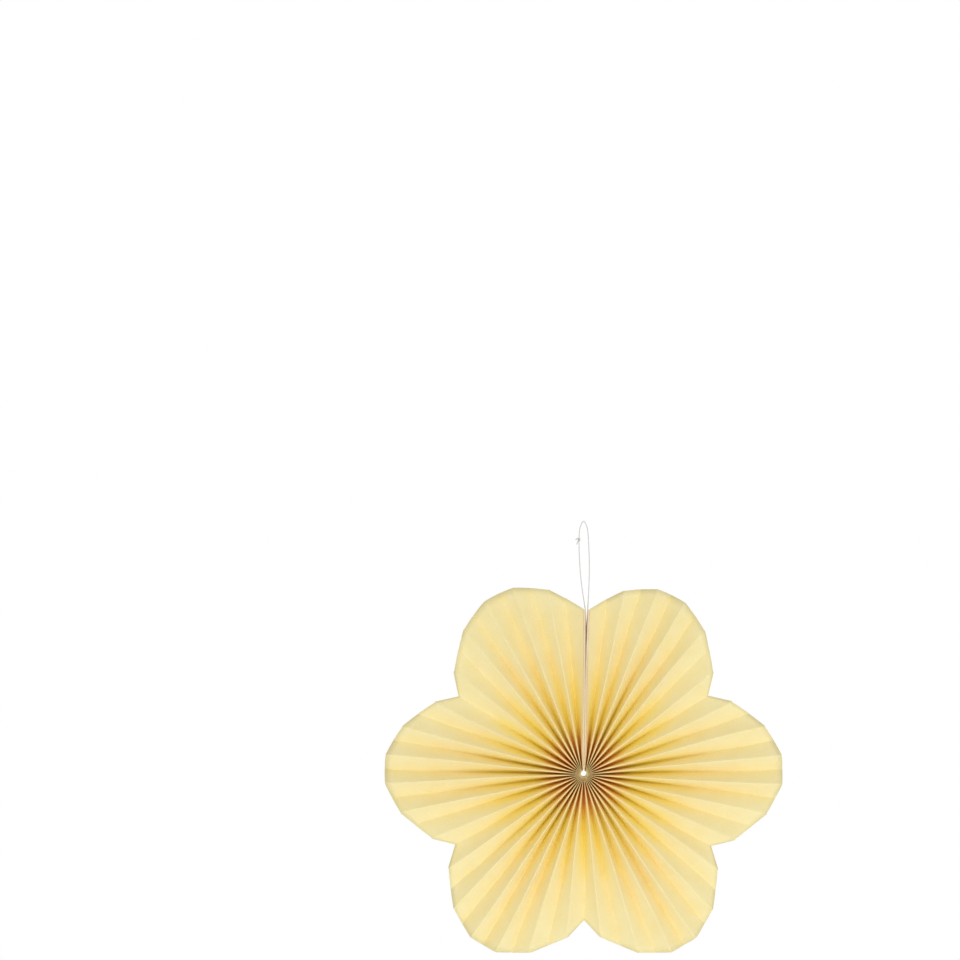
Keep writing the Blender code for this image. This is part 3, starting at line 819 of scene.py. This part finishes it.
def ringRoute():
    # Through the punched holes, in an arc round the centre, and by a quarter turn up into the seam
    look = twineLook
    ring, turnIn, offset = look["ringRadius"], look["bendRadius"], look["strandOffset"]
    leaves = math.asin(turnIn / (ring + turnIn))
    share = np.linspace(0, 1, look["ringSteps"] + 1)
    turn = 2 * np.pi - (2 * np.pi - leaves) * share
    arc = np.stack([ring * np.sin(turn), offset * (1 - 2 * share), ring * np.cos(turn)], -1)
    first = 1.5 * np.pi - leaves
    turn = first + (np.pi - first) * np.arange(1, look["bendSteps"] + 1) / look["bendSteps"]
    middle = np.array([turnIn, -offset, (ring + turnIn) * math.cos(leaves)])
    bend = middle + np.stack([np.cos(turn), np.zeros_like(turn), np.sin(turn)], -1) * turnIn
    return np.concatenate([arc, bend])


def strand(side):
    # Straight up the middle of the seam, and then outwards with the seam's mouth
    look = twineLook
    low = look["ringRadius"] + 2 * look["bendRadius"]
    exitRadius = (petalRadius(0) + petalRadius(1)) / 2 + look["exitRise"]
    height = np.linspace(low, exitRadius, look["strandSteps"] + 1)
    aside = (seamGap(height, 0.0) - seamLook["midGap"]) / 2
    return np.stack([side * aside, np.full_like(height, -side * look["strandOffset"]), height], -1)


def twineRoute():
    # Round the centre, up the seam, through the free loop and back down the seam
    look = twineLook
    last = [[0.0, look["strandOffset"], look["ringRadius"] + look["diameter"] / 2 + look["endGap"]]]
    start = toWorld(np.concatenate([ringRoute(), strand(1.0)]))
    end = toWorld(np.concatenate([strand(-1.0)[::-1], last]))
    free = np.concatenate([start[-1:], loopRoute, end[:1]])
    # The curve's ends leave along the strands, with neighbours as far off as the loop's own points
    leaving, arriving = start[-2] - start[-1], end[1] - end[0]
    before = start[-1] + leaving * np.linalg.norm(free[1] - free[0]) / np.linalg.norm(leaving)
    after = end[0] + arriving * np.linalg.norm(free[-2] - free[-1]) / np.linalg.norm(arriving)
    return np.concatenate([start[:-1], curveThrough(free, before, after, look["loopSteps"]), end])


def carriedFrames(path):
    # Two crosswise directions at each point of a path. The first has no part towards the front or back.
    tangent = unit(np.gradient(path, axis=0))
    crosswise = unit(np.cross(tangent, [0.0, 1.0, 0.0]))
    return crosswise, np.cross(crosswise, tangent)


def makeTwist(name, path, finish, radius, frames):
    # A round profile with one bulge for each ply, turned along the path: the radius less a groove
    # where the plies meet
    look = twineLook
    length = lengthsAlong(path)[:, None]
    around = np.linspace(0, 2 * np.pi, look["around"], endpoint=False)[None, :]
    turned = around - 2 * np.pi * length / look["pitch"]
    bulge = np.abs(np.cos(look["plies"] / 2 * turned)) ** look["plyRoundness"]
    uneven = sum((share * np.sin(length * rate + start) for share, rate, start in look["uneven"]), 1)
    reach = radius * uneven * (1 - look["plyDepth"] * (1 - bulge))
    outward = frames[0][:, None] * np.cos(around)[..., None] + frames[1][:, None] * np.sin(around)[..., None]
    points = (path[:, None] + outward * reach[..., None]).reshape(-1, 3)
    piece = addMesh(name, points, cappedFaces(*reach.shape), finish, {"bulge": bulge.ravel()})
    closeShell(piece.data)
    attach(piece, "root")
    return piece


def twineFinish():
    # Natural cotton twine spun from three plies: matte, soft sheen, painted shade in the grooves and loose
    # fibre flecks
    look = twineLook
    settings = {"Roughness": 0.9, "Specular IOR Level": 0.2, "Sheen Weight": 0.25, "Sheen Roughness": 0.5}
    made, tree, shader = newMaterial("spunCottonTwine", settings)
    place = addNode(tree, "ShaderNodeTexCoord")
    bulge = addNode(tree, "ShaderNodeAttribute", {"attribute_name": "bulge"})
    # Painted shade: the grooves where the plies meet are coloured darker
    groove = addNode(
        tree, "ShaderNodeMapRange", {"From Min": 0.6, "From Max": 0.0}, {"Value": bulge.outputs["Fac"]},
    )
    base = addNode(
        tree, "ShaderNodeMix",
        {"data_type": "RGBA", 6: linearColour(look["colour"]), 7: linearColour(look["grooveShadeColour"])},
        {0: groove.outputs[0]},
    )
    fibre = addNode(
        tree, "ShaderNodeTexNoise", {"Scale": 1000 / look["fibreSize"], "Detail": 3.0},
        {"Vector": place.outputs["Object"]},
    )
    fluff = addNode(
        tree, "ShaderNodeMapRange", {"From Min": 0.45, "From Max": 0.7, "To Max": 0.5},
        {"Value": fibre.outputs[0]},
    )
    flecked = addNode(
        tree, "ShaderNodeMix", {"data_type": "RGBA", 7: linearColour(look["fluffColour"])},
        {0: fluff.outputs[0], 6: base.outputs[2]},
    )
    # Low in the seam it is coated with the card's glue
    height = addNode(tree, "ShaderNodeSeparateXYZ", None, {"Vector": place.outputs["Object"]})
    glued = addNode(
        tree, "ShaderNodeMapRange", {**level, "From Min": look["glueFrom"], "From Max": look["glueTo"]},
        {"Value": height.outputs["Z"]},
    )
    coated = addNode(
        tree, "ShaderNodeMix", {"data_type": "RGBA", 7: linearColour(look["glueColour"])},
        {0: glued.outputs[0], 6: flecked.outputs[2]},
    )
    bump = addNode(
        tree, "ShaderNodeBump", {"Strength": 0.4, "Distance": 0.00005}, {"Height": fibre.outputs[0]},
    )
    tree.links.new(coated.outputs[2], shader.inputs["Base Color"])
    tree.links.new(bump.outputs[0], shader.inputs["Normal"])
    return made


def tailOf(start, before, lean, reach):
    # A short end of twine that leaves along the last turn and bends by the square of its length
    out = np.linspace(0, 1, knotLook["tailSteps"])[1:, None]
    return start + (unit(start - before) * out + lean * out ** 2) * reach


def makeKnot(path, finish):
    # The twine's end wound round the left strand: a helix of close turns with a short tail at each end
    look = knotLook
    # The strand's direction at the knot is taken over a dozen of the free loop's points on its left side
    free = np.where((path[:, 0] < 0) & (path[:, 2] > loopRoute[-1, 2]))[0]
    near = free[np.argmin(np.abs(path[free, 2] - look["height"]))]
    axis = unit(path[near - 6] - path[near + 6])
    first = unit(np.cross(axis, [0.0, 1.0, 0.0]))
    second = np.cross(first, axis)
    turn = np.linspace(0, 2 * np.pi * look["wraps"], look["wrapSteps"])[:, None]
    climb = (turn / turn[-1] - 0.5) * look["wraps"] * look["pitch"]
    coil = (first * np.cos(turn) + second * np.sin(turn)) * twineLook["diameter"] * look["coilRadius"]
    wound = path[near] + axis * climb + coil
    upperLean, lowerLean = [first * aside + axis * up for aside, up in (look["upperLean"], look["lowerLean"])]
    upper = tailOf(wound[-1], wound[-2], upperLean, look["tail"])
    lower = tailOf(wound[0], wound[1], lowerLean, look["tail"] * look["lowerShare"])[::-1]
    line = evenly(np.concatenate([lower, wound, upper]), twineLook["step"])
    tangent = unit(np.gradient(line, axis=0))
    outward = unit(np.cross(tangent, axis))
    frames = (outward, np.cross(outward, tangent))
    piece = makeTwist("loopKnot", line, finish, twineLook["diameter"] * look["endRadius"], frames)
    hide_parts("loop_knot")
    return piece


def makeTwine():
    # The twine with its knot.
    finish = twineFinish()
    path = evenly(twineRoute(), twineLook["step"])
    twine = makeTwist("hangingTwine", path, finish, twineLook["diameter"] / 2, carriedFrames(path))
    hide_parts("hanging_string")
    knot = makeKnot(path, finish)


# Studio

def makeCamera():
    # The camera stands level in front, as far away as its lens needs for the picture's width
    look = studio
    lens = bpy.data.cameras.new("photoCamera")
    lens.lens = look["lens"]
    lens.sensor_width = look["sensorWidth"]
    lens.clip_end = look["farthestSeen"]
    camera = bpy.data.objects.new("photoCamera", lens)
    away = look["frameWidth"] * look["lens"] / lens.sensor_width
    x, y, z = look["lookAt"]
    camera.location = (x, y - away, z)
    camera.rotation_euler = (math.pi / 2, 0.0, 0.0)
    bpy.context.scene.collection.objects.link(camera)
    bpy.context.scene.camera = camera
    print("camera set")


def makeSoftLight(name, place, size, power, hexCode):
    # A square soft box that faces the fan's centre
    lamp = bpy.data.lights.new(name, "AREA")
    lamp.size = size
    lamp.energy = power
    lamp.color = linearColour(hexCode)[:3]
    made = bpy.data.objects.new(name, lamp)
    made.location = place
    made.rotation_euler = (Vector(flowerCentre) - Vector(place)).to_track_quat("-Z", "Y").to_euler()
    made.visible_camera = False
    bpy.context.scene.collection.objects.link(made)


def makeStudio():
    # A white world, a pale floor far below and two soft lamps
    look = studio
    world = bpy.data.worlds.new("paleStudio")
    world.use_nodes = True
    tree = world.node_tree
    back = tree.nodes["Background"]
    back.inputs["Color"].default_value = (1.0, 1.0, 1.0, 1.0)
    back.inputs["Strength"].default_value = look["worldLight"]
    # The backdrop itself is pure white, whatever the strength of its light
    seen = addNode(tree, "ShaderNodeBackground", {"Color": (1.0, 1.0, 1.0, 1.0), "Strength": 1.0})
    rays = addNode(tree, "ShaderNodeLightPath")
    both = addNode(
        tree, "ShaderNodeMixShader", None,
        {0: rays.outputs["Is Camera Ray"], 1: back.outputs[0], 2: seen.outputs[0]},
    )
    tree.links.new(both.outputs[0], tree.nodes["World Output"].inputs["Surface"])
    bpy.context.scene.world = world
    bpy.context.scene.view_settings.view_transform = "Standard"
    bpy.context.scene.cycles.diffuse_bounces = look["bounces"]

    half = look["floorSize"] / 2
    ground = flowerCentre[2] - look["floorDrop"]
    corners = np.array([(-1, -1, 0), (1, -1, 0), (1, 1, 0), (-1, 1, 0)]) * half + [0, 0, ground]
    settings = {"Base Color": linearColour(look["floorColour"]), "Roughness": 0.85}
    plaster = newMaterial("paleFloor", settings)[0]
    floor = addMesh("studioFloor", corners, np.array([[0, 1, 2, 3]]), plaster, smooth=False)
    makeSoftLight("keyBelow", look["keyPlace"], look["keySize"], look["keyPower"], look["keyColour"])
    makeSoftLight("fillAbove", look["fillPlace"], look["fillSize"], look["fillPower"], look["fillColour"])
    print("studio lit")


makeCamera()
makeTwine()
makePaper()
card = cardFinish()
makeBoard("rightCardBoard", 1.0, "right_end_board", card)
makeBoard("leftCardBoard", -1.0, "left_end_board", card)
dressTape()
makeStudio()
